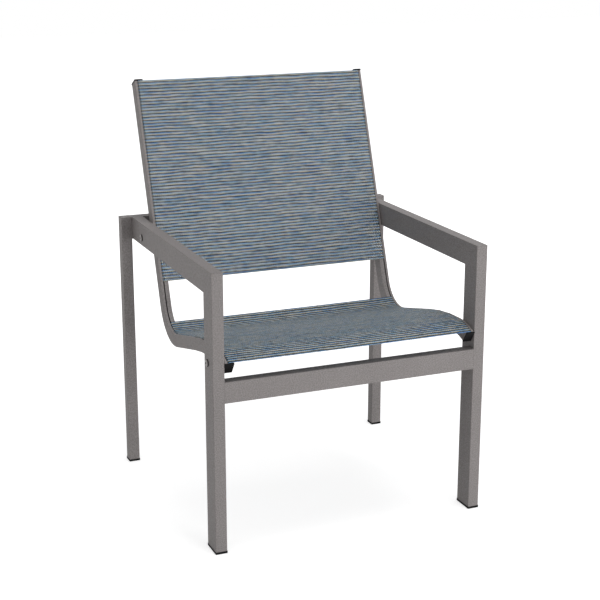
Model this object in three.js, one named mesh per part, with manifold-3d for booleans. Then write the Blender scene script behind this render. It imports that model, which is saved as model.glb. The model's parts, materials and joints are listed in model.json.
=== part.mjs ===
// Fixed sling patio chair: a welded tube frame, two bent sling rails and two stretched fabric panels.
// Millimetres, +Z up. The chair faces -Y; left and right are as seen from its front, so left is -X.
import * as THREE from 'three';
import { mergeVertices } from 'three/addons/utils/BufferGeometryUtils.js';
import Module from 'manifold-3d';

const wasm = await Module();
wasm.setup();

// Frame sizes
const frontWidth = 641;
const frameDepth = 600.2;
const armHeight = 624.1;
const tubeThin = 25.9;
const tubeDeep = 53.3;
const tubeWall = 1.6;
const tubeCorner = 1.2;
const rearLegSide = 25.9;
const rearLegReveal = 1.6;
const rearCapPlate = 2;
const frontBarTop = 387.5;
const frontBarHeight = 47.1;
const frontBarThick = 26.5;
const weldGap = 0.3;

// Foot sizes
const gliderBase = 5.2;
const gliderLip = 0.8;
const gliderChamfer = 0.8;
const gliderPlug = 18;
const gliderPlugWall = 2;

// Sling rail sizes; the path follows the middle of the face that the fabric lies on, and the straight behind
// the seat's curve is as long as it takes to bring the rail to its bolt on the arm
const railWidth = 19;
const railThick = 28.8;
const railCorner = 1;
const railWall = 1.8;
const railGap = 1.2;
const railReach = 1.1;
const endCutTilt = THREE.MathUtils.degToRad(8);
const crestHeight = 443.2;
const waterfallTurn = THREE.MathUtils.degToRad(27.9);
const waterfallRadius = 126.3;
const crestFlat = 8.7;
const seatTurn = THREE.MathUtils.degToRad(13.64);
const seatRadius = 584.3;
const bendRadius = 74.1;
const backRecline = THREE.MathUtils.degToRad(20.2);
const backStraight = 535.5;

// Spline groove sizes, inset from the rail's outer side
const grooveInset = 7.3;
const grooveMouth = 2.6;
const grooveRadius = 3.7;
const grooveLip = 1.4;
const fluteInset = 13.2;
const fluteWidth = 1.2;
const fluteDepth = 0.5;

// Rail cap sizes
const capPlate = 3.4;
const capLip = 0.8;
const capChamfer = 0.7;
const capPlug = 10;
const capPlugTaper = 0.8;
const fitGap = 0.3;

// Fabric sizes, with the panels' inner edges measured from the ends of the bend behind the seat
const clothThick = 0.8;
const clothLift = 0.3;
const splineRadius = 2.1;
const hemRadius = 3.2;
const seatFrontEnd = 0.3;
const seatPastBend = 63.5;
const backPastBend = 56;
const backUpperSetback = 0.3;
const seatSag = 5;
const backSag = 4;
const hemSagShare = 0.25;
const splineSetback = 2;
const endHemWidth = 18;
const endHemStep = 1;
const endHemExtra = 0.6;

// Bolt, spacer and nut sizes
const boltRadius = 3;
const boltHeadRadius = 8.2;
const boltHeadHeight = 4;
const boltHeadRim = 0.8;
const boltSocket = 4.6;
const boltSocketDepth = 2.4;
const boltBeyondNut = 1.2;
const holeGap = 0.4;
const spacerRadius = 9;
const nutFlat = 10;
const nutThick = 5.2;
const armBoltDrop = 34.6;
const armBoltSetback = 76.2;
const legBoltSetback = 33;

// Seat spreader bar sizes
const barRadius = 9.5;
const barWall = 1.5;
const barBeforeBend = 42;
const barBow = 22;
const plugRim = 2;
const plugDepth = 22;
const pinRadius = 3;
const pinReach = 8;

// Facet counts
const cornerSteps = 2;
const grooveSteps = 9;
const hemSteps = 7;
const clothSteps = 6;
const clothRun = 80;
const railBendRun = 50;
const railTurnStep = THREE.MathUtils.degToRad(7);
const domeSteps = 4;
const barSteps = 16;
const barSides = 16;
const boltSides = 20;

const overrun = 1;

// Derived places
const legOuterX = frontWidth / 2;
const legInnerX = legOuterX - tubeThin;
const rearLegInnerX = legOuterX + rearLegReveal;
const rearLegOuterX = rearLegInnerX + rearLegSide;
const rearBarFrontY = frameDepth - tubeThin;
const railOuterX = legInnerX - railGap;
const railInnerX = railOuterX - railWidth;
const grooveX = railOuterX - grooveInset;
const grooveMouthTurn = Math.asin(grooveMouth / 2 / grooveRadius);
const grooveDepth = grooveLip + grooveRadius * Math.cos(grooveMouthTurn);
const hollowTop = grooveDepth + grooveRadius + railWall;
const hollowMiddle = (hollowTop + railThick - railWall) / 2;
const boltDepth = hollowTop + nutFlat / Math.sqrt(3) + fitGap;

// Finishes
const powderCoat = { color: 0x7d7672, roughness: 0.62, metalness: 0.35 };
const blackPlastic = { color: 0x1c1c1d, roughness: 0.55, metalness: 0 };
const slingCloth = { color: 0x66788c, roughness: 0.9, metalness: 0 };
const splineCord = { color: 0xc9c9c4, roughness: 0.7, metalness: 0 };
const zincSteel = { color: 0x9b9c9e, roughness: 0.4, metalness: 0.9 };

const chair = new THREE.Group();

function addPart(name, geometry, finish) {
  const mesh = new THREE.Mesh(geometry, new THREE.MeshStandardMaterial(finish));
  mesh.name = name;
  chair.add(mesh);
  return mesh;
}

// Solid joins and cuts
function toSolid(geometry) {
  const bare = geometry.clone();
  bare.deleteAttribute('normal');
  bare.deleteAttribute('uv');
  const merged = mergeVertices(bare, 1e-4);
  return new wasm.Manifold(new wasm.Mesh({
    numProp: 3,
    vertProperties: new Float32Array(merged.attributes.position.array),
    triVerts: new Uint32Array(merged.index.array),
  }));
}

function toGeometry(solid) {
  const mesh = solid.getMesh();
  const geometry = new THREE.BufferGeometry();
  geometry.setAttribute('position', new THREE.BufferAttribute(new Float32Array(mesh.vertProperties), 3));
  geometry.setIndex(new THREE.BufferAttribute(new Uint32Array(mesh.triVerts), 1));
  return geometry;
}

function cutFrom(geometry, cutters) {
  return toGeometry(cutters.reduce((solid, cutter) => solid.subtract(toSolid(cutter)), toSolid(geometry)));
}

function join(geometries) {
  const [first, ...rest] = geometries;
  return toGeometry(rest.reduce((solid, piece) => solid.add(toSolid(piece)), toSolid(first)));
}

// Outlines
function roundedRectangle(width, depth, corner) {
  const points = [];
  const centres = [[1, 1], [-1, 1], [-1, -1], [1, -1]];
  centres.forEach(([signX, signY], quarter) => {
    const centreX = signX * (width / 2 - corner);
    const centreY = signY * (depth / 2 - corner);
    for (let step = 0; step <= cornerSteps; step += 1) {
      const angle = (quarter + step / cornerSteps) * Math.PI / 2;
      points.push(new THREE.Vector2(centreX + corner * Math.cos(angle), centreY + corner * Math.sin(angle)));
    }
  });
  return points;
}

function arcPoints(centreX, centreY, radius, from, to, steps) {
  return Array.from({ length: steps + 1 }, (_, step) => {
    const angle = from + (to - from) * step / steps;
    return new THREE.Vector2(centreX + radius * Math.cos(angle), centreY + radius * Math.sin(angle));
  });
}

function tubeShape(width, depth) {
  const shape = new THREE.Shape(roundedRectangle(width, depth, tubeCorner));
  const innerCorner = Math.max(tubeCorner - tubeWall, tubeCorner / 4);
  const bore = roundedRectangle(width - 2 * tubeWall, depth - 2 * tubeWall, innerCorner);
  shape.holes.push(new THREE.Path(bore));
  return shape;
}

// A straight tube from z = 0 to its length; a mitred one has its far end cut to a slope across its depth
function frameTube(width, depth, length) {
  return new THREE.ExtrudeGeometry(tubeShape(width, depth), { depth: length, bevelEnabled: false });
}

function mitredTube(length) {
  const geometry = frameTube(tubeThin, tubeDeep, length);
  const position = geometry.attributes.position;
  for (let index = 0; index < position.count; index += 1) {
    if (position.getZ(index) > length / 2) {
      position.setZ(index, length - tubeDeep / 2 - position.getY(index));
    }
  }
  return geometry;
}

// A round pin, hole or washer along X between two places
function rodAlongX(fromX, toX, y, z, radius) {
  return new THREE.CylinderGeometry(radius, radius, Math.abs(toX - fromX), boltSides)
    .rotateZ(Math.PI / 2)
    .translate((fromX + toX) / 2, y, z);
}

// Rail path: places and slopes of the fabric face, in the YZ plane
class RailPath {
  constructor(seatStraight) {
    this.pieces = [];
    this.length = 0;
    const y = -railReach;
    const drop = waterfallRadius * (1 - Math.cos(waterfallTurn));
    this.turn = waterfallTurn;
    this.at = { y, z: crestHeight - drop };
    this.arc(waterfallRadius, -waterfallTurn);
    this.line(crestFlat);
    this.arc(seatRadius, -seatTurn);
    this.line(seatStraight);
    this.bendStart = this.length;
    this.arc(bendRadius, seatTurn + Math.PI / 2 - backRecline);
    this.bendEnd = this.length;
    this.line(backStraight);
  }

  line(length) {
    this.add({ start: this.length, length, y: this.at.y, z: this.at.z, slope: this.turn, curve: 0 });
  }

  arc(radius, turn) {
    const curve = Math.sign(turn) / radius;
    const length = radius * Math.abs(turn);
    this.add({ start: this.length, length, y: this.at.y, z: this.at.z, slope: this.turn, curve });
  }

  add(piece) {
    this.pieces.push(piece);
    this.length += piece.length;
    this.at = this.place(this.length);
    this.turn = this.at.slope;
  }

  // The place at a distance along the rail, sunk by a depth below the fabric face
  place(distance, depth = 0) {
    const piece = this.pieces.findLast((each) => each.start <= distance) ?? this.pieces[0];
    const run = distance - piece.start;
    const slope = piece.slope + piece.curve * run;
    let y = piece.y + run * Math.cos(slope);
    let z = piece.z + run * Math.sin(slope);
    if (piece.curve !== 0) {
      y = piece.y + (Math.sin(slope) - Math.sin(piece.slope)) / piece.curve;
      z = piece.z - (Math.cos(slope) - Math.cos(piece.slope)) / piece.curve;
    }
    return { y: y + depth * Math.sin(slope), z: z - depth * Math.cos(slope), slope };
  }

  // Distances to place rings at: the ends, every joint of the path, and steps round each bend
  stations(from, to, straightRun) {
    const stops = new Set([from, to]);
    this.pieces.forEach((piece) => {
      const turnSteps = Math.ceil(piece.length * Math.abs(piece.curve) / railTurnStep);
      const run = piece.curve === 0 ? straightRun : railBendRun;
      const steps = Math.max(turnSteps, Math.ceil(piece.length / run));
      for (let step = 0; step <= steps; step += 1) {
        const stop = piece.start + piece.length * step / steps;
        if (stop > from + overrun && stop < to - overrun) stops.add(stop);
      }
    });
    return [...stops].sort((first, second) => first - second);
  }
}

// Finds the distance along a rail, between two distances, where a hidden line reaches a coordinate
function railDistanceWhere(path, axis, value, depth, from, to) {
  let [low, high] = [from, to];
  const rising = path.place(high, depth)[axis] > path.place(low, depth)[axis];
  for (let round = 0; round < 50; round += 1) {
    const middle = (low + high) / 2;
    if (path.place(middle, depth)[axis] < value === rising) low = middle;
    else high = middle;
  }
  return low;
}

function armBoltStationOn(path) {
  return railDistanceWhere(path, 'z', armHeight - armBoltDrop, boltDepth, path.bendEnd, path.length);
}

function seatStraightToArmBolt() {
  const shortPath = new RailPath(0);
  const missing = rearBarFrontY - armBoltSetback - shortPath.place(armBoltStationOn(shortPath), boltDepth).y;
  return missing / (Math.cos(seatTurn) + Math.sin(seatTurn) * Math.tan(backRecline));
}

const railPath = new RailPath(seatStraightToArmBolt());

// A closed solid through matching sections; each section has an outline and holes, listed counter-clockwise
function loft(sections, toSpace) {
  const loopsOf = (section) => [section.outline, ...(section.holes ?? [])];
  const rings = sections.map((section, index) => loopsOf(section).flat().map((point) => toSpace(index, point)));
  const ringSize = rings[0].length;
  const faces = [];
  for (let ring = 0; ring + 1 < rings.length; ring += 1) {
    let first = 0;
    loopsOf(sections[ring]).forEach((loop, loopIndex) => {
      loop.forEach((_, place) => {
        const a = ring * ringSize + first + place;
        const b = ring * ringSize + first + (place + 1) % loop.length;
        const quad = loopIndex === 0 ? [a, b] : [b, a];
        faces.push(quad[0], quad[1], quad[1] + ringSize, quad[0], quad[1] + ringSize, quad[0] + ringSize);
      });
      first += loop.length;
    });
  }
  [0, rings.length - 1].forEach((ring) => {
    const loops = loopsOf(sections[ring]);
    const flat = loops.flat();
    const outlineTurn = Math.sign(THREE.ShapeUtils.area(loops[0]));
    const wantedTurn = ring === 0 ? -outlineTurn : outlineTurn;
    THREE.ShapeUtils.triangulateShape(loops[0], loops.slice(1)).forEach(([a, b, c]) => {
      const turn = Math.sign(THREE.ShapeUtils.area([flat[a], flat[b], flat[c]]));
      const corners = turn === wantedTurn ? [a, b, c] : [a, c, b];
      faces.push(...corners.map((corner) => ring * ringSize + corner));
    });
  });
  return closedGeometry(rings.flat(), faces);
}

// Turns every face outwards, going by the sign of the enclosed volume
function closedGeometry(points, faces) {
  let volume = 0;
  for (let index = 0; index < faces.length; index += 3) {
    const [a, b, c] = [points[faces[index]], points[faces[index + 1]], points[faces[index + 2]]];
    volume += a.dot(b.clone().cross(c));
  }
  if (volume < 0) faces.reverse();
  const geometry = new THREE.BufferGeometry().setFromPoints(points);
  geometry.setIndex(faces);
  return geometry;
}

// A section swept along the rail; its points are places across the chair and heights above the fabric face.
// A tilt runs an end on along the rail by a share of each point's depth
function sweepRail(stations, sectionAt, startTilt, endTilt) {
  return loft(stations.map((station) => sectionAt(station)), (index, point) => {
    const { y, z, slope } = railPath.place(stations[index], -point.y);
    let runOn = 0;
    if (index === 0) runOn = -startTilt * point.y;
    if (index === stations.length - 1) runOn = -endTilt * point.y;
    return new THREE.Vector3(point.x, y + runOn * Math.cos(slope), z + runOn * Math.sin(slope));
  });
}

const cutTilt = Math.tan(endCutTilt);
const waterfallLength = waterfallRadius * waterfallTurn;
const crestEnd = waterfallLength + crestFlat;
const legBoltStation = railDistanceWhere(railPath, 'y', legBoltSetback, boltDepth, 0, crestEnd);
const boltPlaces = {
  arm: railPath.place(armBoltStationOn(railPath), boltDepth),
  leg: railPath.place(legBoltStation, boltDepth),
};
const barStation = railPath.place(railPath.bendStart - barBeforeBend, railThick / 2);

function holeThroughFrame(side, { y, z }) {
  return rodAlongX(side * (legInnerX - overrun), side * (legOuterX + overrun), y, z, boltRadius + holeGap);
}

// Frame tubes
function addFrontLeg(name, side) {
  const length = armHeight - gliderBase - weldGap;
  const tube = mitredTube(length)
    .translate(side * (legOuterX - tubeThin / 2), tubeDeep / 2, gliderBase);
  addPart(`${name}_front_leg`, cutFrom(tube, [holeThroughFrame(side, boltPlaces.leg)]), powderCoat);
}

function addArm(name, side) {
  const turn = new THREE.Matrix4().makeBasis(
    new THREE.Vector3(-1, 0, 0), new THREE.Vector3(0, 0, -1), new THREE.Vector3(0, -1, 0),
  );
  const tube = mitredTube(rearBarFrontY)
    .applyMatrix4(turn)
    .translate(side * (legOuterX - tubeThin / 2), rearBarFrontY, armHeight - tubeDeep / 2);
  addPart(`${name}_arm`, cutFrom(tube, [holeThroughFrame(side, boltPlaces.arm)]), powderCoat);
}

function addRearLeg(name, side) {
  const centreX = side * (rearLegInnerX + rearLegSide / 2);
  const centreY = frameDepth - rearLegSide / 2;
  const length = armHeight - rearCapPlate - gliderBase;
  const tube = frameTube(rearLegSide, rearLegSide, length).translate(centreX, centreY, gliderBase);
  addPart(`${name}_rear_leg`, tube, powderCoat);
  const outline = new THREE.Shape(roundedRectangle(rearLegSide, rearLegSide, tubeCorner));
  const plate = new THREE.ExtrudeGeometry(outline, { depth: rearCapPlate, bevelEnabled: false })
    .translate(centreX, centreY, armHeight - rearCapPlate);
  addPart(`${name}_rear_leg_cap`, plate, powderCoat);
}

function addCrossbar(name, halfLength, frontY, topZ, thick, height) {
  const turn = new THREE.Matrix4().makeBasis(
    new THREE.Vector3(0, 1, 0), new THREE.Vector3(0, 0, 1), new THREE.Vector3(1, 0, 0),
  );
  const tube = frameTube(thick, height, 2 * halfLength)
    .applyMatrix4(turn)
    .translate(-halfLength, frontY + thick / 2, topZ - height / 2);
  addPart(name, tube, powderCoat);
}

// Feet: a base that rims the tube's end, and a hollow plug inside the tube
function addGlide(name, width, depth, centreX, centreY) {
  const spread = width + 2 * gliderLip;
  const reach = depth + 2 * gliderLip;
  const baseAt = (inset) => ({
    outline: roundedRectangle(spread - 2 * inset, reach - 2 * inset, tubeCorner),
  });
  const heights = [0, gliderChamfer, gliderBase];
  const base = loft([baseAt(gliderChamfer), baseAt(0), baseAt(0)], (index, point) => (
    new THREE.Vector3(point.x, point.y, heights[index])
  ));
  const plugGap = 2 * (tubeWall + fitGap);
  const plugShape = new THREE.Shape(roundedRectangle(width - plugGap, depth - plugGap, tubeCorner / 2));
  const plugBore = plugGap + 2 * gliderPlugWall;
  plugShape.holes.push(new THREE.Path(roundedRectangle(width - plugBore, depth - plugBore, tubeCorner / 4)));
  const plug = new THREE.ExtrudeGeometry(plugShape, { depth: gliderPlug + gliderBase / 2, bevelEnabled: false })
    .translate(0, 0, gliderBase / 2);
  addPart(name, join([base, plug]).translate(centreX, centreY, 0), blackPlastic);
}

// Sling rail: a rounded hollow bar with a keyhole groove along its face
function railSection(side) {
  const acrossFrom = (inset) => side * (railOuterX - inset);
  const outline = [];
  const corners = roundedRectangle(railWidth, railThick, railCorner);
  const centre = new THREE.Vector2(railWidth / 2, -railThick / 2);
  corners.forEach((point) => outline.push(point.clone().add(centre)));
  const face = [
    new THREE.Vector2(fluteInset + fluteWidth / 2, 0),
    new THREE.Vector2(fluteInset, -fluteDepth),
    new THREE.Vector2(fluteInset - fluteWidth / 2, 0),
    new THREE.Vector2(grooveInset + grooveMouth / 2, 0),
    ...arcPoints(
      grooveInset, -grooveDepth, grooveRadius,
      Math.PI / 2 - grooveMouthTurn, grooveMouthTurn - Math.PI * 3 / 2, grooveSteps,
    ),
    new THREE.Vector2(grooveInset - grooveMouth / 2, 0),
  ];
  outline.splice(cornerSteps + 1, 0, ...face);
  const hollow = [
    new THREE.Vector2(railWidth - railWall, -hollowTop),
    new THREE.Vector2(railWall, -hollowTop),
    new THREE.Vector2(railWall, railWall - railThick),
    new THREE.Vector2(railWidth - railWall, railWall - railThick),
  ];
  const place = (point) => new THREE.Vector2(acrossFrom(point.x), point.y);
  return { outline: outline.map(place), holes: [hollow.map(place)] };
}

function addRail(name, side) {
  const stations = railPath.stations(0, railPath.length, railPath.length);
  const rail = sweepRail(stations, () => railSection(side), cutTilt, -cutTilt);
  const cutters = Object.values(boltPlaces).map(({ y, z }) => rodAlongX(
    side * (railOuterX - railWall - overrun), side * (railOuterX + overrun), y, z, boltRadius + holeGap,
  ));
  cutters.push(rodAlongX(
    side * (railInnerX - overrun), side * (railInnerX + railWall + overrun),
    barStation.y, barStation.z, pinRadius + fitGap,
  ));
  addPart(`${name}_sling_rail`, cutFrom(rail, cutters), powderCoat);
}

// Rail caps: a chamfered plate that rims the rail's slanted end, and a plug in its hollow
function addRailCap(name, side, distance, outward) {
  const { y, z, slope } = railPath.place(distance);
  const across = new THREE.Vector3(1, 0, 0);
  const lift = new THREE.Vector3(0, -Math.sin(slope), Math.cos(slope));
  const away = new THREE.Vector3(0, Math.cos(slope), Math.sin(slope)).multiplyScalar(outward);
  const toRailEnd = (point, height) => new THREE.Vector3(side * (railOuterX - railWidth / 2), y, z)
    .addScaledVector(across, point.x)
    .addScaledVector(lift, point.y - railThick / 2)
    .addScaledVector(away, height + cutTilt * (point.y - railThick / 2));
  const plateAt = (rim) => ({
    outline: roundedRectangle(railWidth + 2 * rim, railThick + 2 * rim, railCorner),
  });
  const heights = [0, capPlate - capChamfer, capPlate];
  const plate = loft([plateAt(capLip), plateAt(capLip), plateAt(capLip - capChamfer)], (index, point) => (
    toRailEnd(point, heights[index])
  ));
  const plugAt = (taper) => {
    const plugWidth = railWidth - 2 * (railWall + fitGap + taper);
    const plugThick = railThick - railWall - hollowTop - 2 * (fitGap + taper);
    const outline = roundedRectangle(plugWidth, plugThick, railCorner);
    outline.forEach((point) => point.setY(point.y + railThick / 2 - hollowMiddle));
    return { outline };
  };
  const plugHeights = [-capPlug, capPlate / 2];
  const plug = loft([plugAt(capPlugTaper), plugAt(0)], (index, point) => toRailEnd(point, plugHeights[index]));
  addPart(name, join([plate, plug]), blackPlastic);
}

// The round outline of a spline or its hem's bore, in the middle of a side's groove
function grooveCircle(side, radius) {
  const circle = arcPoints(grooveX, -grooveDepth, radius, 0, Math.PI * 2, hemSteps).slice(1);
  return circle.map((point) => point.setX(side * point.x));
}

// Fabric: a sagging band with a hem round a cord along each side, tucked through the groove's mouth
function slingSection(sag, extra) {
  const top = clothLift + clothThick + extra;
  const edgeX = grooveX + clothThick / 2;
  const tuckX = grooveX - clothThick / 2;
  const sagAt = (x) => -sag * Math.max(0, 1 - (x / railInnerX) ** 2);
  const across = Array.from({ length: clothSteps - 1 }, (_, step) => (
    railInnerX * (2 * (step + 1) / clothSteps - 1)
  ));
  const tuckTurn = Math.asin(clothThick / 2 / hemRadius);
  const hemAt = (centreX) => arcPoints(
    centreX, -grooveDepth, hemRadius, Math.PI / 2 - tuckTurn, tuckTurn - Math.PI * 3 / 2, hemSteps,
  ).reverse();
  const boreRadius = (splineRadius + fitGap) / Math.cos(Math.PI / hemSteps);
  const leftToRight = across.map((x) => new THREE.Vector2(x, clothLift + sagAt(x)));
  const rightToLeft = across.map((x) => new THREE.Vector2(x, top + sagAt(x))).reverse();
  return {
    outline: [
      new THREE.Vector2(edgeX, top),
      new THREE.Vector2(railInnerX, top),
      ...rightToLeft,
      new THREE.Vector2(-railInnerX, top),
      new THREE.Vector2(-edgeX, top),
      ...hemAt(-grooveX),
      new THREE.Vector2(-tuckX, clothLift),
      new THREE.Vector2(-railInnerX, clothLift),
      ...leftToRight,
      new THREE.Vector2(railInnerX, clothLift),
      new THREE.Vector2(tuckX, clothLift),
      ...hemAt(grooveX),
    ],
    holes: [grooveCircle(-1, boreRadius).reverse(), grooveCircle(1, boreRadius)],
  };
}

function addSling(name, from, to, middleSag, tilts) {
  const ends = [from + endHemWidth, from + endHemWidth + endHemStep, to - endHemWidth - endHemStep, to - endHemWidth];
  const stations = [...new Set([...railPath.stations(from, to, clothRun), ...ends])];
  stations.sort((first, second) => first - second);
  const sling = sweepRail(stations, (station) => {
    const share = (station - from) / (to - from);
    const sag = middleSag * (hemSagShare + (1 - hemSagShare) * Math.sin(Math.PI * share));
    const inHem = Math.min(station - from, to - station) <= endHemWidth;
    return slingSection(sag, inHem ? endHemExtra : 0);
  }, ...tilts);
  addPart(name, sling, slingCloth);
}

function addSpline(name, side, from, to) {
  const outline = grooveCircle(side, splineRadius);
  const stations = railPath.stations(from, to, railPath.length);
  addPart(name, sweepRail(stations, () => ({ outline }), 0, 0), splineCord);
}

// Bolts run from the frame's outer face, through the spacer, into the nut inside the rail
function boltGeometry() {
  const shank = tubeThin + railGap + railWall + nutThick + boltBeyondNut;
  const tip = boltRadius / 4;
  const dome = arcPoints(0, 0, 1, 0, Math.PI / 2, domeSteps).map((point) => (
    new THREE.Vector2(point.x * boltHeadRadius, boltHeadRim + point.y * (boltHeadHeight - boltHeadRim))
  ));
  dome[dome.length - 1].x = 0;
  const profile = [
    new THREE.Vector2(0, -shank),
    new THREE.Vector2(boltRadius - tip, -shank),
    new THREE.Vector2(boltRadius, tip - shank),
    new THREE.Vector2(boltRadius, 0),
    new THREE.Vector2(boltHeadRadius, 0),
    ...dome,
  ];
  const socket = new THREE.CylinderGeometry(boltSocket / 2, boltSocket / 2, 2 * boltSocketDepth, 6)
    .translate(0, boltHeadHeight, 0);
  return cutFrom(new THREE.LatheGeometry(profile, boltSides), [socket]);
}

function addFastening(name, side, { y, z, slope }) {
  const bolt = boltGeometry().rotateZ(-side * Math.PI / 2).translate(side * legOuterX, y, z);
  addPart(`${name}_bolt`, bolt, powderCoat);

  const washer = ringShape(spacerRadius, boltRadius + holeGap, boltSides);
  const spacer = new THREE.ExtrudeGeometry(washer, { depth: railGap, bevelEnabled: false })
    .translate(0, 0, -railGap / 2)
    .rotateY(Math.PI / 2)
    .translate(side * (railOuterX + railGap / 2), y, z);
  addPart(`${name}_spacer`, spacer, blackPlastic);

  const hexagon = new THREE.Shape(arcPoints(0, 0, nutFlat / Math.sqrt(3), 0, Math.PI * 2, 6).slice(1));
  const nutBore = arcPoints(0, 0, boltRadius + fitGap, 0, Math.PI * 2, boltSides).slice(1);
  hexagon.holes.push(new THREE.Path(nutBore));
  const nut = new THREE.ExtrudeGeometry(hexagon, { depth: nutThick, bevelEnabled: false })
    .translate(0, 0, -nutThick / 2)
    .rotateY(Math.PI / 2)
    .rotateX(slope)
    .translate(side * (railOuterX - railWall - nutThick / 2), y, z);
  addPart(`${name}_nut`, nut, zincSteel);
}

// Seat spreader: a bar that bows down between the rails, held by plugs with pins
class BowCurve extends THREE.Curve {
  constructor(halfLength, straightEnd, bow) {
    super();
    Object.assign(this, { halfLength, straightEnd, bow });
  }

  getPoint(share) {
    const x = this.halfLength * (2 * share - 1);
    const bowReach = this.halfLength - this.straightEnd;
    const inside = Math.min(1, Math.abs(x) / bowReach);
    const drop = this.bow * (1 + Math.cos(Math.PI * inside)) / 2;
    return new THREE.Vector3(x, 0, -drop);
  }
}

function ringShape(radius, boreRadius, sides) {
  const shape = new THREE.Shape(arcPoints(0, 0, radius, 0, Math.PI * 2, sides).slice(1));
  shape.holes.push(new THREE.Path(arcPoints(0, 0, boreRadius, 0, Math.PI * 2, sides).slice(1)));
  return shape;
}

function addSpreader() {
  const { y, z, slope } = barStation;
  const halfLength = railInnerX - plugRim - fitGap;
  const curve = new BowCurve(halfLength, plugDepth + barRadius, barBow);
  const bar = new THREE.ExtrudeGeometry(ringShape(barRadius, barRadius - barWall, barSides), {
    steps: barSteps, extrudePath: curve, bevelEnabled: false,
  }).rotateX(slope).translate(0, y, z);
  addPart('seat_spreader_bar', bar, powderCoat);

  sides.forEach(([name, side]) => {
    const plugRadius = (barRadius - barWall) * Math.cos(Math.PI / barSides) - fitGap;
    const profile = [
      new THREE.Vector2(0, -plugDepth),
      new THREE.Vector2(plugRadius, -plugDepth),
      new THREE.Vector2(plugRadius, 0),
      new THREE.Vector2(barRadius, 0),
      new THREE.Vector2(barRadius, plugRim),
      new THREE.Vector2(pinRadius, plugRim),
      new THREE.Vector2(pinRadius, plugRim + pinReach),
      new THREE.Vector2(0, plugRim + pinReach),
    ];
    const plug = new THREE.LatheGeometry(profile, barSides)
      .rotateZ(-side * Math.PI / 2)
      .translate(side * (railInnerX - plugRim), y, z);
    addPart(`${name}_spreader_plug`, plug, blackPlastic);
  });
}

// Assembly
const sides = [['left', -1], ['right', 1]];
const frontLegCentreX = legOuterX - tubeThin / 2;
const rearLegCentreX = rearLegInnerX + rearLegSide / 2;
const seatRearEnd = railPath.bendStart + seatPastBend;
const backLowerEnd = railPath.bendEnd + backPastBend;
const backUpperEnd = railPath.length - backUpperSetback;

sides.forEach(([name, side]) => {
  addFrontLeg(name, side);
  addArm(name, side);
  addRearLeg(name, side);
  addRail(name, side);
  addRailCap(`${name}_rail_top_cap`, side, railPath.length, 1);
  addRailCap(`${name}_rail_front_cap`, side, 0, -1);
  addGlide(`${name}_front_glide`, tubeThin, tubeDeep, side * frontLegCentreX, tubeDeep / 2);
  addGlide(
    `${name}_rear_glide`, rearLegSide, rearLegSide, side * rearLegCentreX, frameDepth - rearLegSide / 2,
  );
  addFastening(`${name}_arm`, side, boltPlaces.arm);
  addFastening(`${name}_leg`, side, boltPlaces.leg);
  addSpline(`${name}_back_spline`, side, backLowerEnd + splineSetback, backUpperEnd - splineSetback);
  addSpline(`${name}_seat_spline`, side, seatFrontEnd + splineSetback, seatRearEnd - splineSetback);
});
addCrossbar('front_crossbar', legInnerX, 0, frontBarTop, frontBarThick, frontBarHeight);
addCrossbar('rear_crossbar', rearLegInnerX, rearBarFrontY, armHeight, tubeThin, tubeDeep);
addSling('back_sling', backLowerEnd, backUpperEnd, backSag, [0, -cutTilt]);
addSling('seat_sling', seatFrontEnd, seatRearEnd, seatSag, [cutTilt, 0]);
addSpreader();

// The origin is on the floor, under the middle of the chair's box
const box = new THREE.Box3().setFromObject(chair);
chair.position.y = -(box.min.y + box.max.y) / 2;

export default chair;
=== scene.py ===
import json
import math

import bmesh
import bpy
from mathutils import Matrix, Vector


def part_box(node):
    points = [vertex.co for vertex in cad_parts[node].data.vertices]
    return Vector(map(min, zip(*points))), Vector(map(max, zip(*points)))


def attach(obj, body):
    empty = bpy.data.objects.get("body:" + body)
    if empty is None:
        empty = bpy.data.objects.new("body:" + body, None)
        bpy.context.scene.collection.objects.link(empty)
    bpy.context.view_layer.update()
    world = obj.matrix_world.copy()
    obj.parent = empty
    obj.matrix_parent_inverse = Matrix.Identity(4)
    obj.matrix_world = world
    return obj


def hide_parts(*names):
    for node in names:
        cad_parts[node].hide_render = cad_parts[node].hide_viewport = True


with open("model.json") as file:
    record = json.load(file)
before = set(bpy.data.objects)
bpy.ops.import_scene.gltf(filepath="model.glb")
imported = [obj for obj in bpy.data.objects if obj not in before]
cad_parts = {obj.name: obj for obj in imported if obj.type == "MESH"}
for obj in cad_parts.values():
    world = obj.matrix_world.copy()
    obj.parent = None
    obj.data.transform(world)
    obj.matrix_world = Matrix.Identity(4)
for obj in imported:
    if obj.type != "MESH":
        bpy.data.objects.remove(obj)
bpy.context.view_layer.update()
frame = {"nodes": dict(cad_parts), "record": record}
nodes = frame["nodes"]
MM = 0.001

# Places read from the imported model
FRAME_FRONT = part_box("left_front_leg")[0].y
RAIL_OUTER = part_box("right_sling_rail")[1].x
RAIL_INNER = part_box("right_sling_rail")[0].x

# Rail path sizes, the same as the model's
RAIL_REACH = 1.1 * MM
CREST_HEIGHT = 443.2 * MM
WATERFALL_TURN = math.radians(27.9)
WATERFALL_RADIUS = 126.3 * MM
CREST_FLAT = 8.7 * MM
SEAT_TURN = math.radians(13.64)
SEAT_RADIUS = 584.3 * MM
SEAT_STRAIGHT = 138.18 * MM
BEND_RADIUS = 74.1 * MM
BACK_RECLINE = math.radians(20.2)
BACK_STRAIGHT = 535.5 * MM

# Rail groove: place across the rail, depth to the bore's centre, and half the bore with some room
GROOVE_X = RAIL_OUTER - 7.3 * MM
GROOVE_DEPTH = 4.864 * MM
GROOVE_HALF, GROOVE_EDGE = 3.9 * MM, 0.25 * MM
GROOVE_STATIONS = 200

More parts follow.
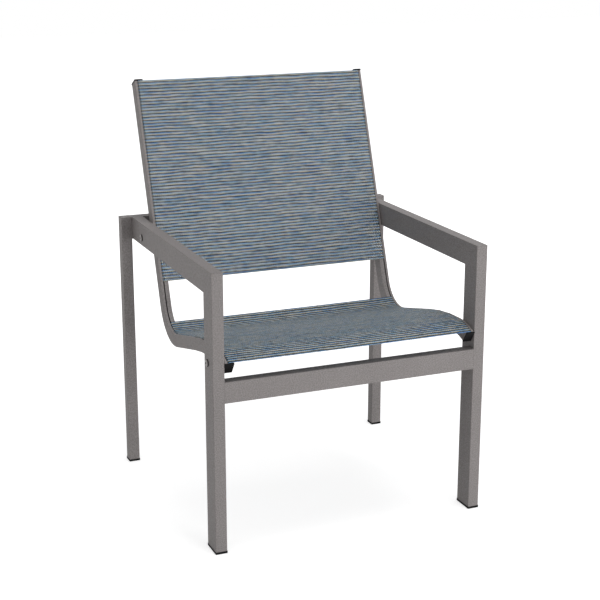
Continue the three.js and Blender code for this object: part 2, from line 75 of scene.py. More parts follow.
# Cloth and its side hems
CLOTH_THICK = 0.7 * MM
CLOTH_LIFT = 0.3 * MM
CLOTH_MIDDLE = CLOTH_LIFT + CLOTH_THICK / 2
HEM_RADIUS = 2.75 * MM
HEM_WRAP_FROM, HEM_WRAP_TO, HEM_STEPS = 118, 450, 14
NECK_SHIFT, NECK_DROP = 0.6 * MM, 0.3 * MM
EDGE_ROLL, ROLL_STEPS = 1.1 * MM, 4
LIP_STEPS, LIP_CLEARANCE = 3, 0.6 * MM

# Panels: where each starts and stops along the rail, end hems and sag
SEAT_FROM, SEAT_PAST_BEND = 0.4 * MM, 63.5 * MM
BACK_PAST_BEND, BACK_SETBACK = 56 * MM, 0.4 * MM
END_HEM = 18 * MM
HEM_RAISE, HEM_RAMP = 0.75 * MM, 3 * MM
SEAT_SAG, BACK_SAG, SAG_AT_HEM = 5 * MM, 4 * MM, 0.25
PANEL_COLUMNS = 56
STATION_SPACING, STATION_GAP = 5 * MM, 1.2 * MM


class RailPath:
    """The line of the rail's fabric face, from its front end, with the slope at each place."""

    def __init__(self):
        self.pieces = []
        self.length = 0
        drop = WATERFALL_RADIUS * (1 - math.cos(WATERFALL_TURN))
        self.at = (FRAME_FRONT - RAIL_REACH, CREST_HEIGHT - drop, WATERFALL_TURN)
        self.arc(WATERFALL_RADIUS, -WATERFALL_TURN)
        self.line(CREST_FLAT)
        self.arc(SEAT_RADIUS, -SEAT_TURN)
        self.line(SEAT_STRAIGHT)
        self.bend_start = self.length
        self.arc(BEND_RADIUS, SEAT_TURN + math.pi / 2 - BACK_RECLINE)
        self.bend_end = self.length
        self.line(BACK_STRAIGHT)

    def line(self, length):
        self.add(length, 0)

    def arc(self, radius, turn):
        self.add(radius * abs(turn), math.copysign(1, turn) / radius)

    def add(self, length, curve):
        self.pieces.append((self.length, *self.at, curve))
        self.length += length
        self.at = self.place(self.length)

    def place(self, distance, height=0):
        """(y, z, slope) at a distance along the rail, raised by a height off the face."""
        reached = [piece for piece in self.pieces if piece[0] <= max(distance, 0)]
        start, y, z, turn, curve = reached[-1]
        run = distance - start
        slope = turn + curve * run
        if curve:
            y += (math.sin(slope) - math.sin(turn)) / curve
            z -= (math.cos(slope) - math.cos(turn)) / curve
        else:
            y += run * math.cos(slope)
            z += run * math.sin(slope)
        return y - height * math.sin(slope), z + height * math.cos(slope), slope


rail = RailPath()
SEAT_TO = rail.bend_start + SEAT_PAST_BEND
BACK_FROM, BACK_TO = rail.bend_end + BACK_PAST_BEND, rail.length - BACK_SETBACK


# Shader helpers
def srgb(red, green, blue):
    """A colour as seen on screen, 0 to 255, as the linear colour a shader takes."""
    def linear(level):
        level /= 255
        return level / 12.92 if level <= 0.04045 else ((level + 0.055) / 1.055) ** 2.4
    return (linear(red), linear(green), linear(blue), 1)


class Nodes:
    """Adds nodes to one tree and links them; a value given for a socket is set, a socket is linked."""

    def __init__(self, tree):
        self.tree = tree

    def add(self, kind, inputs=None, **settings):
        node = self.tree.nodes.new(kind)
        for key, value in settings.items():
            setattr(node, key, value)
        for key, value in (inputs or {}).items():
            socket = node.inputs[key]
            if isinstance(value, bpy.types.NodeSocket):
                self.tree.links.new(value, socket)
            else:
                socket.default_value = value
        return node

    def math(self, operation, *values):
        node = self.add("ShaderNodeMath", dict(enumerate(values)), operation=operation)
        return node.outputs[0]

    def mix_colour(self, factor, first, second, blend="MIX"):
        node = self.add("ShaderNodeMix", data_type="RGBA", blend_type=blend)
        for socket, value in ((node.inputs[0], factor), (node.inputs[6], first), (node.inputs[7], second)):
            if isinstance(value, bpy.types.NodeSocket):
                self.tree.links.new(value, socket)
            else:
                socket.default_value = value
        return node.outputs[2]

    def spread(self, value, low, high, to_low=0.0, to_high=1.0):
        node = self.add("ShaderNodeMapRange", {0: value, 1: low, 2: high, 3: to_low, 4: to_high})
        return node.outputs[0]

    def noise(self, vector, scale, detail=2.0, roughness=0.5):
        inputs = {"Vector": vector, "Scale": scale, "Detail": detail, "Roughness": roughness}
        return self.add("ShaderNodeTexNoise", inputs).outputs["Fac"]


def new_group(name, inputs, outputs):
    """A shader group of number sockets: inputs as {name: default value}, outputs as names."""
    tree = bpy.data.node_groups.new(name, "ShaderNodeTree")
    for key, default in inputs.items():
        socket = tree.interface.new_socket(key, in_out="INPUT", socket_type="NodeSocketFloat")
        socket.default_value = default
    for key in outputs:
        tree.interface.new_socket(key, in_out="OUTPUT", socket_type="NodeSocketFloat")
    return Nodes(tree), tree.nodes.new("NodeGroupInput").outputs, tree.nodes.new("NodeGroupOutput").inputs


# Grain: the usual size of each kind of spot, and the detail and roughness of its noise
GRAIN_SIZES = {"Grain Size": 0.6 * MM, "Fleck Size": 2.4 * MM, "Mottle Size": 50 * MM}
GRAIN_NOISE, FLECK_NOISE, MOTTLE_NOISE = (2.0, 0.6), (1.0, 0.5), (3.0, 0.55)


def surface_grain_group():
    """Fine grain, coarser flecks and slow mottling in object space, for painted metal and plastic."""
    inside, given, out = new_group("surface_grain", GRAIN_SIZES, ["Grain", "Fleck", "Mottle"])
    place = inside.add("ShaderNodeTexCoord").outputs["Object"]
    grain_scale = inside.math("DIVIDE", 1.0, given["Grain Size"])
    fleck_scale = inside.math("DIVIDE", 1.0, given["Fleck Size"])
    mottle_scale = inside.math("DIVIDE", 1.0, given["Mottle Size"])
    inside.tree.links.new(inside.noise(place, grain_scale, *GRAIN_NOISE), out["Grain"])
    inside.tree.links.new(inside.noise(place, fleck_scale, *FLECK_NOISE), out["Fleck"])
    inside.tree.links.new(inside.noise(place, mottle_scale, *MOTTLE_NOISE), out["Mottle"])
    return inside.tree


GRAIN = surface_grain_group()


def new_material(name, **shader):
    """A material with one Principled shader, and plain values on its own sockets."""
    material = bpy.data.materials.new(name)
    material.use_nodes = True
    material.node_tree.nodes.clear()
    build = Nodes(material.node_tree)
    principled = build.add("ShaderNodeBsdfPrincipled", shader)
    output = build.add("ShaderNodeOutputMaterial")
    build.tree.links.new(principled.outputs[0], output.inputs["Surface"])
    return material, build, principled.inputs


# Where each kind of spot is full dark and full light, and how much of the finish it makes
SPECKLE_RANGE, FLECK_RANGE = (0.3, 0.7), (0.34, 0.66)
FLECK_SHARE, MOTTLE_SHARE, COAT_MOTTLE_SHARE = 0.6, 0.15, 0.1
GRAIN_DEPTH = 0.2 * MM


def grain_finish(name, dark, light, grain_size, roughness, bump, mottle_share=MOTTLE_SHARE, **shader):
    """A coat or plastic with speckle in its colour, slow mottling, and a bumped grain."""
    material, build, sockets = new_material(name, **shader)
    grain = build.add("ShaderNodeGroup", node_tree=GRAIN)
    grain.inputs["Grain Size"].default_value = grain_size
    speckle = build.spread(grain.outputs["Grain"], *SPECKLE_RANGE)
    fleck = build.spread(grain.outputs["Fleck"], *FLECK_RANGE)
    mottle = build.spread(grain.outputs["Mottle"], *SPECKLE_RANGE)
    fine = build.add("ShaderNodeMix", {0: FLECK_SHARE, 2: speckle, 3: fleck}).outputs[0]
    blend = build.add("ShaderNodeMix", {0: mottle_share, 2: fine, 3: mottle}).outputs[0]
    build.tree.links.new(build.mix_colour(blend, dark, light), sockets["Base Color"])
    rough = build.spread(blend, 0.0, 1.0, *roughness)
    build.tree.links.new(rough, sockets["Roughness"])
    raised = build.add("ShaderNodeBump", {
        "Strength": bump, "Distance": GRAIN_DEPTH, "Height": grain.outputs["Grain"],
    })
    build.tree.links.new(raised.outputs[0], sockets["Normal"])
    return material


# Striped mesh: a basket weave of coloured weft pairs, three to a repeat, over dark warp pairs
WEFT_PITCH = 7.55 * MM / 3
WARP_PITCH = 2.315 * MM
WAVER, WAVER_RUN, WAVER_RANGE = 1.1 * MM, 70 * MM, (0.25, 0.75)
WEFT_START = 982.6 * MM
WARP_COLOUR = srgb(66, 72, 80)
FLOAT_BRIGHT, FLOAT_SHINE, SHINE_FROM = srgb(240, 246, 250), 0.35, 0.55
FLOAT_DEEP, FLOAT_SHADE, SHADE_FROM = srgb(30, 34, 42), 0.35, 0.45
FLOAT_FLATNESS = 0.5
# Painted shade in the gaps between yarns: its colour, how much, and the yarn height below which it shows
GAP_SHADE_COLOUR, GAP_SHADE, GAP_HEIGHT = srgb(46, 49, 55), 0.2, 0.5
WEAVE_ROUGHNESS, WEAVE_BUMP, WEAVE_DEPTH = (0.6, 0.95), 0.2, 0.3 * MM

# The seat's bolder rows: tint of its warp floats, its dark band, and the painted shade that darkens the
# whole seat
SEAT_COVER, SEAT_WEFT_TINT = 0.85, 0.8
SEAT_BAND, SEAT_BAND_COLOUR = 0.78, srgb(28, 31, 37)
DARK_ROW, BAND_EDGE = 1.5, -0.5
SEAT_PAINTED_SHADE = 0.72

# End hem stitches
STITCH_FROM_END = 15.5 * MM
STITCH_HALF_WIDTH, STITCH_PITCH, STITCH_SHARE = 0.45 * MM, 3.6 * MM, 0.7
STITCH_COLOUR, STITCH_HEIGHT = srgb(92, 102, 114), 0.8
HEM_SEAMS = [
    SEAT_FROM + STITCH_FROM_END, SEAT_TO - STITCH_FROM_END,
    BACK_FROM + STITCH_FROM_END, BACK_TO - STITCH_FROM_END,
]

# Colours of the three wefts
WEFT_COLOURS = [(148, 202, 250), (50, 44, 48), (236, 234, 206)]

# Drifts along each weft: run length, seed, noise where it starts and is full, most share, three colours
ROW_SCATTER, DRIFT_NOISE = 7.31, (2.0, 0.55)
WEFT_DRIFTS = [
    (0.050, 3.4, 0.50, 0.62, 0.65, [(70, 150, 240), (24, 24, 34), (130, 176, 190)]),
    (0.032, 11.4, 0.51, 0.62, 0.66, [(236, 244, 252), (150, 130, 118), (250, 236, 200)]),
    (0.018, 23.4, 0.54, 0.65, 0.55, [(90, 110, 140), (24, 26, 34), (120, 124, 120)]),
]


def weft_colour_ramp(build, position, colours):
    """The colour of a weft row from its place in the repeat, 0 to 1."""
    ramp = build.add("ShaderNodeValToRGB", {0: position})
    ramp.color_ramp.interpolation = "CONSTANT"
    stops = ramp.color_ramp.elements
    while len(stops) < len(colours):
        stops.new(1.0)
    for index, colour in enumerate(colours):
        stops[index].position = index / len(colours)
        stops[index].color = srgb(*colour)
    return ramp.outputs[0]


def sling_mesh_finish():
    """The striped mesh, laid out by each panel's own map: metres across it and along the rail."""
    material, build, sockets = new_material("sling_mesh", **{"Specular IOR Level": 0.18})
    place = build.add("ShaderNodeSeparateXYZ", {0: build.add("ShaderNodeUVMap", uv_map="cloth").outputs[0]})
    across = place.outputs[0]
    along = build.math("SUBTRACT", place.outputs[1], WEFT_START)

    # Rows wander a little, as loose yarn does
    waver = build.add("ShaderNodeCombineXYZ", {
        0: build.math("DIVIDE", across, WAVER_RUN), 1: build.math("DIVIDE", along, WAVER_RUN / 2),
    })
    wander = build.spread(build.noise(waver.outputs[0], scale=1.0, detail=1.0), *WAVER_RANGE, -WAVER, WAVER)
    along = build.math("ADD", along, wander)

    # The weft row and warp column that a point is in, and its place in each
    row_place = build.math("ADD", build.math("DIVIDE", along, WEFT_PITCH), 0.5)
    column_place = build.math("DIVIDE", across, WARP_PITCH)
    row, column = build.math("FLOOR", row_place), build.math("FLOOR", column_place)
    in_row, in_column = build.math("FRACT", row_place), build.math("FRACT", column_place)
    repeat = float(len(WEFT_COLOURS))
    turn = build.math("FRACT", build.math("DIVIDE", build.math("ADD", row, 0.5), repeat))
    weft = weft_colour_ramp(build, turn, WEFT_COLOURS)
    for run, seed, low, high, most, colours in WEFT_DRIFTS:
        spot = build.add("ShaderNodeCombineXYZ", {
            0: build.math("DIVIDE", across, run), 1: build.math("MULTIPLY", row, ROW_SCATTER), 2: seed,
        })
        share = build.spread(build.noise(spot.outputs[0], 1.0, *DRIFT_NOISE), low, high, 0.0, most)
        weft = build.mix_colour(share, weft, weft_colour_ramp(build, turn, colours))

    # Each float catches the light a little differently
    cell = build.add("ShaderNodeCombineXYZ", {0: column, 1: row}).outputs[0]
    chance = build.add("ShaderNodeTexWhiteNoise", {"Vector": cell}, noise_dimensions="2D").outputs["Value"]
    weft = build.mix_colour(build.spread(chance, SHINE_FROM, 1.0, 0.0, FLOAT_SHINE), weft, FLOAT_BRIGHT)
    weft = build.mix_colour(build.spread(chance, SHADE_FROM, 0.0, 0.0, FLOAT_SHADE), weft, FLOAT_DEEP)

    # Weft and warp lie on top in turn; each float is two rounded yarns that dive at its ends
    warp_up = build.math("ABSOLUTE", build.math("MODULO", build.math("ADD", row, column), 2.0))
    weft_up = build.math("SUBTRACT", 1.0, warp_up)

    def humps(position, count):
        return build.math("ABSOLUTE", build.math("SINE", build.math("MULTIPLY", position, count * math.pi)))

    def float_height(side, run):
        return build.math("MULTIPLY", humps(side, 2), build.math("POWER", humps(run, 1), FLOAT_FLATNESS))

    height = build.math(
        "ADD", build.math("MULTIPLY", float_height(in_row, in_column), weft_up),
        build.math("MULTIPLY", float_height(in_column, in_row), warp_up),
    )

    # The seat's rows are bolder than the back's: its wefts tint the warp floats, and its dark rows widen
    on_seat = build.math("LESS_THAN", place.outputs[1], rail.bend_end)
    tinted = build.mix_colour(SEAT_WEFT_TINT, WARP_COLOUR, weft)
    warp = build.mix_colour(build.math("MULTIPLY", on_seat, SEAT_COVER), WARP_COLOUR, tinted)
    cloth = build.mix_colour(warp_up, weft, warp)
    from_dark_row = build.math("SUBTRACT", row_place, DARK_ROW)
    phase = build.math("MULTIPLY", from_dark_row, 2 * math.pi / len(WEFT_COLOURS))
    band = build.spread(build.math("COSINE", phase), BAND_EDGE, 1.0, 0.0, SEAT_BAND)
    cloth = build.mix_colour(build.math("MULTIPLY", on_seat, band), cloth, SEAT_BAND_COLOUR)
    # Painted shade: the seat's cloth is darkened all over
    painted_seat_shade = build.spread(on_seat, 0.0, 1.0, 1.0, SEAT_PAINTED_SHADE)
    painted_seat_shade = build.add("ShaderNodeCombineColor", {0: painted_seat_shade, 1: painted_seat_shade, 2: painted_seat_shade}).outputs[0]
    cloth = build.mix_colour(1.0, cloth, painted_seat_shade, "MULTIPLY")

    # Painted shade in the gaps between yarns
    gap = build.spread(height, 0.0, GAP_HEIGHT, 1.0, 0.0)
    cloth = build.mix_colour(build.math("MULTIPLY", gap, GAP_SHADE), cloth, GAP_SHADE_COLOUR)

    # A row of lock stitches holds each end hem
    seam = 0.0
    for seam_place in HEM_SEAMS:
        on_seam = build.math("COMPARE", place.outputs[1], seam_place, STITCH_HALF_WIDTH)
        seam = build.math("MAXIMUM", seam, on_seam)
    stitch_place = build.math("FRACT", build.math("DIVIDE", across, STITCH_PITCH))
    in_stitch = build.math("LESS_THAN", stitch_place, STITCH_SHARE)
    stitch = build.math("MULTIPLY", seam, in_stitch)
    cloth = build.mix_colour(stitch, cloth, STITCH_COLOUR)
    height = build.math("ADD", height, build.math("MULTIPLY", stitch, STITCH_HEIGHT))

    build.tree.links.new(cloth, sockets["Base Color"])
    build.tree.links.new(build.spread(gap, 0.0, 1.0, *WEAVE_ROUGHNESS), sockets["Roughness"])
    raised = build.add("ShaderNodeBump", {
        "Strength": WEAVE_BUMP, "Distance": WEAVE_DEPTH, "Height": height,
    })
    build.tree.links.new(raised.outputs[0], sockets["Normal"])
    return material


# Finishes: name, dark and light speckle, grain size, roughness from and to, strength of the bump
powder_coat = grain_finish(
    "powder_coat", srgb(115, 110, 109), srgb(159, 154, 153), 1.1 * MM, (0.5, 0.62), 0.25,
    mottle_share=COAT_MOTTLE_SHARE, **{"Specular IOR Level": 0.2},
)
black_plastic = grain_finish(
    "black_plastic", srgb(12, 12, 13), srgb(22, 22, 23), 0.8 * MM, (0.5, 0.65), 0.3,
    **{"Specular IOR Level": 0.1},
)
# Lit and shaded copies of the bolt's finish: painted light on the head's face, painted shade on its side
# and in its socket
bolt_face = grain_finish(
    "bolt_face", srgb(150, 146, 144), srgb(174, 170, 168), 0.9 * MM, (0.4, 0.5), 0.1,
    **{"Specular IOR Level": 0.5},
)
bolt_side = grain_finish(
    "bolt_side", srgb(34, 32, 32), srgb(48, 46, 45), 0.9 * MM, (0.5, 0.6), 0.1,
    **{"Specular IOR Level": 0.3},
)
# Painted shade for the inside of the rails' grooves
groove_painted_shade = grain_finish(
    "groove_painted_shade", srgb(78, 74, 73), srgb(94, 90, 89), 0.9 * MM, (0.7, 0.8), 0.1,
    **{"Specular IOR Level": 0.2},
)
spline_cord = grain_finish(
    "spline_cord", srgb(196, 196, 190), srgb(212, 212, 206), 1 * MM, (0.5, 0.6), 0.1,
)
zinc_steel = grain_finish(
    "zinc_steel", srgb(176, 178, 182), srgb(205, 206, 208), 0.9 * MM, (0.28, 0.42), 0.1, Metallic=1.0,
)
sling_mesh = sling_mesh_finish()

FINISHES = {
    "frame_coat": powder_coat, "bolt_coat": bolt_face, "black_plastic": black_plastic,
    "spline_cord": spline_cord, "zinc_steel": zinc_steel, "sling_mesh": sling_mesh,
}
for part in frame["record"]["subparts"]:
    node = nodes[part["node"]]
    node.data.materials.clear()
    node.data.materials.append(FINISHES[part["material_slot"]])


# Hard pieces
SMOOTH_ANGLE = math.radians(32)
MERGE_DISTANCE = 0.02 * MM


def make_only_selected(piece):
    bpy.ops.object.select_all(action="DESELECT")
    piece.select_set(True)
    bpy.context.view_layer.objects.active = piece


def in_edit_mode(piece, *steps):
    """Runs steps of mesh editing on one piece, with everything in it selected at the start."""
    make_only_selected(piece)
    bpy.ops.object.mode_set(mode="EDIT")
    bpy.ops.mesh.select_all(action="SELECT")
    for step in steps:
        step()
    bpy.ops.object.mode_set(mode="OBJECT")


def pick_faces(piece, chosen):
    """Selects only the faces that a test picks, in edit mode."""
    bpy.ops.mesh.select_mode(type="FACE")
    bpy.ops.mesh.select_all(action="DESELECT")
    mesh = bmesh.from_edit_mesh(piece.data)
    for face in mesh.faces:
        face.select_set(chosen(face))
    bmesh.update_edit_mesh(piece.data)


def apply_modifier(piece, kind, **settings):
    modifier = piece.modifiers.new(kind.lower(), kind)
    for key, value in settings.items():
        setattr(modifier, key, value)
    make_only_selected(piece)
    bpy.ops.object.modifier_apply(modifier=modifier.name)


def shade_by_angle(piece):
    make_only_selected(piece)
    bpy.ops.object.shade_smooth_by_angle(angle=SMOOTH_ANGLE)
    apply_modifier(piece, "WEIGHTED_NORMAL", keep_sharp=True)


def paint_groove_shade(piece):
    """Gives the walls of a rail's groove a darker finish of their own: painted shade inside the groove."""
    piece.data.materials.append(groove_painted_shade)
    line = [rail.place(rail.length * step / GROOVE_STATIONS) for step in range(GROOVE_STATIONS + 1)]
    for face in piece.data.polygons:
        x, y, z = face.center
        if abs(abs(x) - GROOVE_X) > GROOVE_HALF:
            continue
        near_y, near_z, slope = min(line, key=lambda at: math.dist(at[:2], (y, z)))
        depth = (y - near_y) * math.sin(slope) - (z - near_z) * math.cos(slope)
        if GROOVE_EDGE < depth < 2 * GROOVE_DEPTH:
            face.material_index = 1


def stand_in(piece, node_name):
    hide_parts(node_name)
    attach(piece, "root")


def smooth_body(node_name):
    """A merged copy of a model node, with its bends and rounded corners shaded smooth."""
    source = nodes[node_name]
    piece = bpy.data.objects.new(node_name + "_body", source.data.copy())
    bpy.context.scene.collection.objects.link(piece)
    in_edit_mode(piece, lambda: bpy.ops.mesh.remove_doubles(threshold=MERGE_DISTANCE))
    if node_name.endswith("sling_rail"):
        paint_groove_shade(piece)
    shade_by_angle(piece)
    stand_in(piece, node_name)


# Bolts: a button head with a hexagon socket and a plain shank; its face is lighter, as painted light, and
# its side and socket are darker, as painted shade
BOLT_HEAD_HEIGHT, BOLT_RADIUS, BOLT_SIDES = 4 * MM, 3 * MM, 32
BOLT_ROUND, BOLT_ROUND_STEPS = 2.6 * MM, 6
SOCKET_RADIUS, SOCKET_DEPTH, SOCKET_SIDES = 2.66 * MM, 2.4 * MM, 6
FLAT_FACE, PAINTED_SHADE_SIDE = 0.9, 0.55


def round_bar(radius, depth, x, y, z, sides):
    """A cylinder along X."""
    bpy.ops.object.select_all(action="DESELECT")
    bpy.ops.mesh.primitive_cylinder_add(
        vertices=sides, radius=radius, depth=depth, location=(x, y, z), rotation=(0, math.pi / 2, 0),
    )
    bar = bpy.context.active_object
    bpy.ops.object.transform_apply(location=True, rotation=True, scale=True)
    return bar


def model_bolt(node_name, side):
    low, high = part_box(node_name)
    y, z = (low.y + high.y) / 2, (low.z + high.z) / 2
    head_radius = (high.y - low.y) / 2
    tip, inner = (high.x, low.x) if side > 0 else (low.x, high.x)
    seat = tip - side * BOLT_HEAD_HEIGHT
    bolt = round_bar(head_radius, BOLT_HEAD_HEIGHT, (tip + seat) / 2, y, z, BOLT_SIDES)
    bolt.name = node_name + "_button"

    def on_head_top(face):
        at_tip = abs(face.calc_center_median().x - tip) < MERGE_DISTANCE
        return at_tip and face.normal.x * side > FLAT_FACE

    def shank():
        pick_faces(bolt, lambda face: face.normal.x * side < -FLAT_FACE)
        bpy.ops.mesh.inset(thickness=head_radius - BOLT_RADIUS, depth=0)
        bpy.ops.mesh.extrude_region_move(TRANSFORM_OT_translate={"value": (inner - seat, 0, 0)})

    def round_head():
        pick_faces(bolt, on_head_top)
        bpy.ops.mesh.region_to_loop()
        bpy.ops.mesh.bevel(offset=BOLT_ROUND, segments=BOLT_ROUND_STEPS, profile=0.5)

    in_edit_mode(bolt, shank, round_head)
    socket = round_bar(SOCKET_RADIUS, 2 * SOCKET_DEPTH, tip, y, z, SOCKET_SIDES)
    apply_modifier(bolt, "BOOLEAN", object=socket)
    make_only_selected(socket)
    bpy.ops.object.delete()

    bolt.data.materials.append(bolt_face)
    bolt.data.materials.append(bolt_side)
    # Painted shade on the head's side and in its socket, painted light on its face
    for face in bolt.data.polygons:
        in_socket = math.dist(face.center[1:], (y, z)) < SOCKET_RADIUS + MERGE_DISTANCE
        beside = abs(face.normal.x) < PAINTED_SHADE_SIDE
        face.material_index = 1 if in_socket or beside else 0
    shade_by_angle(bolt)
    stand_in(bolt, node_name)


HARD_PARTS = [part for part in frame["record"]["subparts"] if part["material_slot"] != "sling_mesh"]
for part in HARD_PARTS:
    node_name = part["node"]
    if node_name.endswith("_bolt"):
        model_bolt(node_name, 1 if node_name.startswith("right") else -1)
    else:
        smooth_body(node_name)


# Fabric panels
def groove_side(side):
    """Cross-section from inside one groove up onto the rail: (x, height) points, outermost first."""
    points = []
    for step in range(HEM_STEPS + 1):
        angle = math.radians(HEM_WRAP_FROM + (HEM_WRAP_TO - HEM_WRAP_FROM) * step / HEM_STEPS)
        out, rise = HEM_RADIUS * math.cos(angle), HEM_RADIUS * math.sin(angle)
        points.append((GROOVE_X + out, rise - GROOVE_DEPTH))
    neck = GROOVE_X - NECK_SHIFT
    roll_centre = CLOTH_MIDDLE - EDGE_ROLL
    points.append((neck, roll_centre - NECK_DROP))
    for step in range(ROLL_STEPS + 1):
        angle = math.radians(90 * step / ROLL_STEPS)
        x = neck - EDGE_ROLL + EDGE_ROLL * math.cos(angle)
        points.append((x, roll_centre + EDGE_ROLL * math.sin(angle)))
    inner = RAIL_INNER + LIP_CLEARANCE
    for steps_left in range(LIP_STEPS, 0, -1):
        points.append((points[-1][0] + (inner - points[-1][0]) / steps_left, CLOTH_MIDDLE))
    if side > 0:
        points.reverse()
    return [(side * x, height) for x, height in points]


def panel_stations(start, end):
    """Places along the rail where the panel has a row of points, with two at the step of each end hem."""
    count = math.ceil((end - start) / STATION_SPACING)
    even = [start + (end - start) * step / count for step in range(count + 1)]
    first, last = start + END_HEM, end - END_HEM
    steps = [first, first + HEM_RAMP, last, last - HEM_RAMP]
    kept = [station for station in even if all(abs(station - step) > STATION_GAP for step in steps)]
    return sorted(kept + steps)


def build_panel(name, start, end, sag):
    """A stretched panel and its cut width: hems in both grooves, a slight sag, and raised end hems."""
    span = RAIL_INNER + LIP_CLEARANCE
    shares = [2 * step / PANEL_COLUMNS - 1 for step in range(1, PANEL_COLUMNS)]
    bridge = [(span * share, CLOTH_MIDDLE) for share in shares]
    section = groove_side(-1) + bridge + groove_side(1)
    stations = panel_stations(start, end)

    # The cloth's map runs across from the panel's middle, along the section
    run = [0]
    for before, after in zip(section, section[1:]):
        run.append(run[-1] + math.dist(before, after))
    run = [distance - run[-1] / 2 for distance in run]

    mesh = bmesh.new()
    uv = mesh.loops.layers.uv.new("cloth")
    rows = []
    for station in stations:
        share = (station - start) / (end - start)
        depth = sag * (SAG_AT_HEM + (1 - SAG_AT_HEM) * math.sin(math.pi * share))
        from_end = min(station - start, end - station)
        lift = HEM_RAISE * max(0, min(1, (END_HEM + HEM_RAMP - from_end) / HEM_RAMP))
        points = []
        for x, height in section:
            open_share = max(0, 1 - (x / RAIL_INNER) ** 2)
            on_top = 1 if height > 0 else 0
            y, z, _ = rail.place(station, height - depth * open_share + lift * on_top)
            points.append(mesh.verts.new((x, y, z)))
        rows.append(points)
    for row in range(len(rows) - 1):
        for column in range(len(section) - 1):
            corners = [(row, column), (row, column + 1), (row + 1, column + 1), (row + 1, column)]
            face = mesh.faces.new([rows[along][across] for along, across in corners])
            for loop, (along, across) in zip(face.loops, corners):
                loop[uv].uv = (run[across], stations[along])

    data = bpy.data.meshes.new(name)
    mesh.to_mesh(data)
    mesh.free()
    panel = bpy.data.objects.new(name, data)
    bpy.context.scene.collection.objects.link(panel)
    data.materials.append(sling_mesh)
    apply_modifier(panel, "SOLIDIFY", thickness=CLOTH_THICK, offset=0, use_even_offset=True)
    bpy.ops.object.shade_smooth()
    return panel, run[-1] - run[0]


PANELS = {
    "seat_sling": (SEAT_FROM, SEAT_TO, SEAT_SAG),
    "back_sling": (BACK_FROM, BACK_TO, BACK_SAG),
}
for node_name, (start, end, sag) in PANELS.items():
    cloth, cut_width = build_panel(node_name.replace("sling", "fabric"), start, end, sag)
    stand_in(cloth, node_name)


# Camera, as the photograph was taken: to the chair's left, in front of it and looking down a little
LENS, SENSOR_WIDTH, VIEW_END = 82.915, 36, 50
EYE_LEFT, EYE_IN_FRONT, EYE_HEIGHT = 1.193, 2.5625, 1.3363
LOOK_DOWN, LOOK_RIGHT = math.radians(15.864), math.radians(22.614)
camera_data = bpy.data.cameras.new("camera")
camera_data.sensor_width = SENSOR_WIDTH
camera_data.lens = LENS
camera_data.clip_end = VIEW_END
camera = bpy.data.objects.new("camera", camera_data)
bpy.context.scene.collection.objects.link(camera)
camera.location = (-EYE_LEFT, FRAME_FRONT - EYE_IN_FRONT, EYE_HEIGHT)
camera.rotation_euler = (math.pi / 2 - LOOK_DOWN, 0, -LOOK_RIGHT)
bpy.context.scene.camera = camera


# Floor: pale, keeps a soft shadow near the chair, and shows plain white further out
SHADOW_GLOW, OPEN_GLOW = 0.67, 1.0
SHADOW_REACH, OPEN_REACH = 0.8, 1.8
FLOOR_SIZE = 24
FLOOR_COLOUR, WHITE = (0.8, 0.8, 0.8, 1), (1, 1, 1, 1)


def shown_white(build):
    """1 on rays from the camera, a gloss or clear material, which see plain white, and 0 on light rays."""
    rays = build.add("ShaderNodeLightPath").outputs
    seen = build.math("MAXIMUM", rays["Is Camera Ray"], rays["Is Glossy Ray"])
    return build.math("MAXIMUM", seen, rays["Is Transmission Ray"])


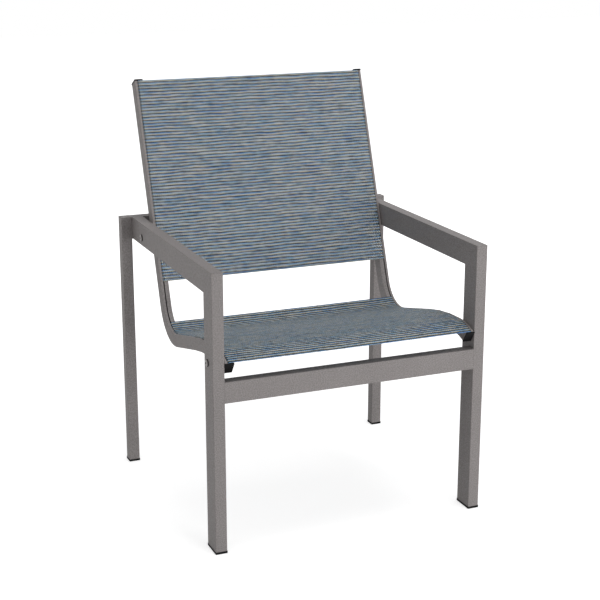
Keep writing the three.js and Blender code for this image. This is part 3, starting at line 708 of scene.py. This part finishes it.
def floor_finish():
    material = bpy.data.materials.new("floor_white")
    material.use_nodes = True
    material.node_tree.nodes.clear()
    build = Nodes(material.node_tree)
    diffuse = build.add("ShaderNodeBsdfDiffuse", {"Color": FLOOR_COLOUR})
    place = build.add("ShaderNodeTexCoord").outputs["Object"]
    reach = build.add("ShaderNodeVectorMath", {0: place}, operation="LENGTH").outputs["Value"]
    strength = build.spread(reach, SHADOW_REACH, OPEN_REACH, SHADOW_GLOW, OPEN_GLOW)
    glow = build.add("ShaderNodeEmission", {"Color": WHITE, "Strength": strength})
    both = build.add("ShaderNodeAddShader", {0: diffuse.outputs[0], 1: glow.outputs[0]})
    seen = shown_white(build)
    mixed = build.add("ShaderNodeMixShader", {0: seen, 1: diffuse.outputs[0], 2: both.outputs[0]})
    output = build.add("ShaderNodeOutputMaterial")
    build.tree.links.new(mixed.outputs[0], output.inputs["Surface"])
    return material


bpy.ops.object.select_all(action="DESELECT")
bpy.ops.mesh.primitive_plane_add(size=FLOOR_SIZE, location=(0, 0, 0))
floor = bpy.context.active_object
floor.name = "floor"
floor.data.materials.append(floor_finish())

# Room: white all round, and a weaker even light
ROOM_STRENGTH = 0.34
world = bpy.data.worlds.new("studio")
bpy.context.scene.world = world
world.use_nodes = True
world.node_tree.nodes.clear()
sky = Nodes(world.node_tree)
seen = shown_white(sky)
room_light = sky.add("ShaderNodeBackground", {"Color": WHITE, "Strength": ROOM_STRENGTH})
backdrop = sky.add("ShaderNodeBackground", {"Color": WHITE, "Strength": 1.0})
sky_mix = sky.add("ShaderNodeMixShader", {0: seen, 1: room_light.outputs[0], 2: backdrop.outputs[0]})
sky.tree.links.new(sky_mix.outputs[0], sky.add("ShaderNodeOutputWorld").inputs["Surface"])


# Lamps: place, size of the square and power of each
LAMP_AIM = Vector((0, 0, 0.45))
LAMPS = {
    "lamp_low": ((0.9, -3.3, 0.5), 1.6, 58),
    "lamp_top": ((0.5, -0.2, 3.6), 2.0, 40),
    "lamp_left": ((-3.2, -0.6, 1.6), 1.6, 7),
}


def soft_lamp(name, place, size, power):
    """A square studio softbox, turned to face the chair."""
    data = bpy.data.lights.new(name, "AREA")
    data.shape = "SQUARE"
    data.size = size
    data.energy = power
    lamp = bpy.data.objects.new(name, data)
    bpy.context.scene.collection.objects.link(lamp)
    lamp.location = place
    lamp.rotation_euler = (LAMP_AIM - Vector(place)).to_track_quat("-Z", "Y").to_euler()


for lamp_name, (place, size, power) in LAMPS.items():
    soft_lamp(lamp_name, place, size, power)

# Colour view
bpy.context.scene.view_settings.view_transform = "Standard"
